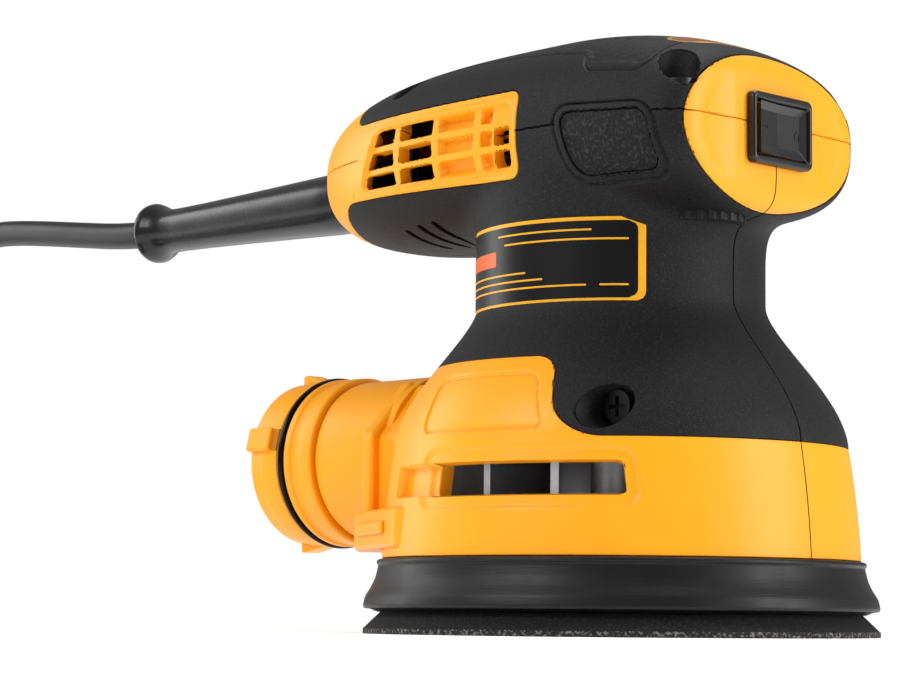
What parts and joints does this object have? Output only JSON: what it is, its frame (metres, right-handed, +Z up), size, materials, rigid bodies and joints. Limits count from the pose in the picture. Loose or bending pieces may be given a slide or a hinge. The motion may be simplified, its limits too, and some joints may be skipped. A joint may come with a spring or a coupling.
{
  "type": "random orbit sander",
  "caption": "Palm-grip mains random orbit sander: round pad, brake skirt, bell casing, rubber grip head, rocker switch, rear dust collar and trailing lead.",
  "frame": {"origin": "centre of the pad's working face, on the motor axis", "axes": "+Z up the motor axis, +X towards the switch at the front of the head, +Y to the tool's left hand; the lead and dust outlet leave towards -X"},
  "size_m": [0.3978, 0.2188, 0.1456],
  "materials": {
    "yellow_casing": "satin moulded",
    "grip_rubber": "fine textured",
    "nameplate_film": "printed film",
    "badge_film": "printed film",
    "black_plastic": "moulded nylon",
    "switch_plastic": "semi gloss",
    "circuit_board": "laminate",
    "laminations": "varnished",
    "copper_wire": "enamelled",
    "steel": "ground",
    "blackened_steel": "blackened",
    "copper_bars": "turned copper",
    "boot_rubber": "moulded",
    "die_cast": "as cast",
    "brass": "stamped",
    "carbon": "pressed carbon graphite",
    "lead_jacket": "thermoplastic rubber",
    "inner_wire": "insulated wire",
    "pad_foam": "moulded urethane",
    "hook_layer": "nylon hooks",
    "skirt_rubber": "smooth"
  },
  "bodies": {
    "casing": {"top_cover": "yellow_casing", "left_housing": "yellow_casing", "right_housing": "yellow_casing", "top_grip": "grip_rubber", "left_grip": "grip_rubber", "right_grip": "grip_rubber", "nameplate": "nameplate_film", "top_badge": "badge_film", "housing_screws": "blackened_steel", "cover_screws": "blackened_steel", "switch_body": "switch_plastic", "speed_module": "circuit_board", "field_core": "laminations", "field_windings": "copper_wire", "upper_bearing": "steel", "bearing_boot": "boot_rubber", "lower_bearing": "steel", "bearing_plate": "die_cast", "plate_screws": "steel", "brush_holders": "brass", "carbon_brushes": "carbon", "brush_springs": "steel", "brush_leads": "brass", "brake_skirt": "skirt_rubber", "dust_port": "yellow_casing", "cord_guard": "lead_jacket", "cord_clamp": "black_plastic", "clamp_screws": "steel", "supply_leads": "inner_wire", "cord": "lead_jacket", "cord_coil": "lead_jacket", "plug": "lead_jacket", "plug_blades": "brass"},
    "armature": {"motor_shaft": "steel", "armature_core": "laminations", "armature_windings": "copper_wire", "commutator": "copper_bars", "fan": "die_cast", "counterweight": "steel", "eccentric_pin": "steel"},
    "pad": {"pad_bearing": "steel", "pad_hub": "die_cast", "bearing_clip": "blackened_steel", "backing_pad": "pad_foam", "hook_face": "hook_layer", "pad_screws": "blackened_steel"},
    "switch_rocker": {"switch_rocker": "switch_plastic"},
    "speed_dial": {"speed_dial": "black_plastic"},
    "dust_collar": {"dust_collar": "yellow_casing", "collar_clip": "blackened_steel"}
  },
  "joints": [
    {"name": "armature_spin", "type": "hinge", "parent": "casing", "child": "armature", "pos_m": [0, 0, 0.08], "axis": [0, 0, 1], "continuous": true},
    {"name": "pad_spin", "type": "hinge", "parent": "armature", "child": "pad", "pos_m": [0.0008, -0.00089, 0.013], "axis": [0, 0, 1], "continuous": true},
    {"name": "switch_rocker", "type": "hinge", "parent": "casing", "child": "switch_rocker", "pos_m": [0.0454, 0, 0.1181], "axis": [0, 0, 1], "range_deg": [-9, 0]},
    {"name": "speed_dial", "type": "hinge", "parent": "casing", "child": "speed_dial", "pos_m": [0.031, -0.007, 0.099], "axis": [0, 0, -1], "range_deg": [0, 270]},
    {"name": "collar_twist", "type": "hinge", "parent": "casing", "child": "dust_collar", "pos_m": [-0.1, 0, 0.045], "axis": [-1, 0, 0], "range_deg": [0, 25]}
  ]
}
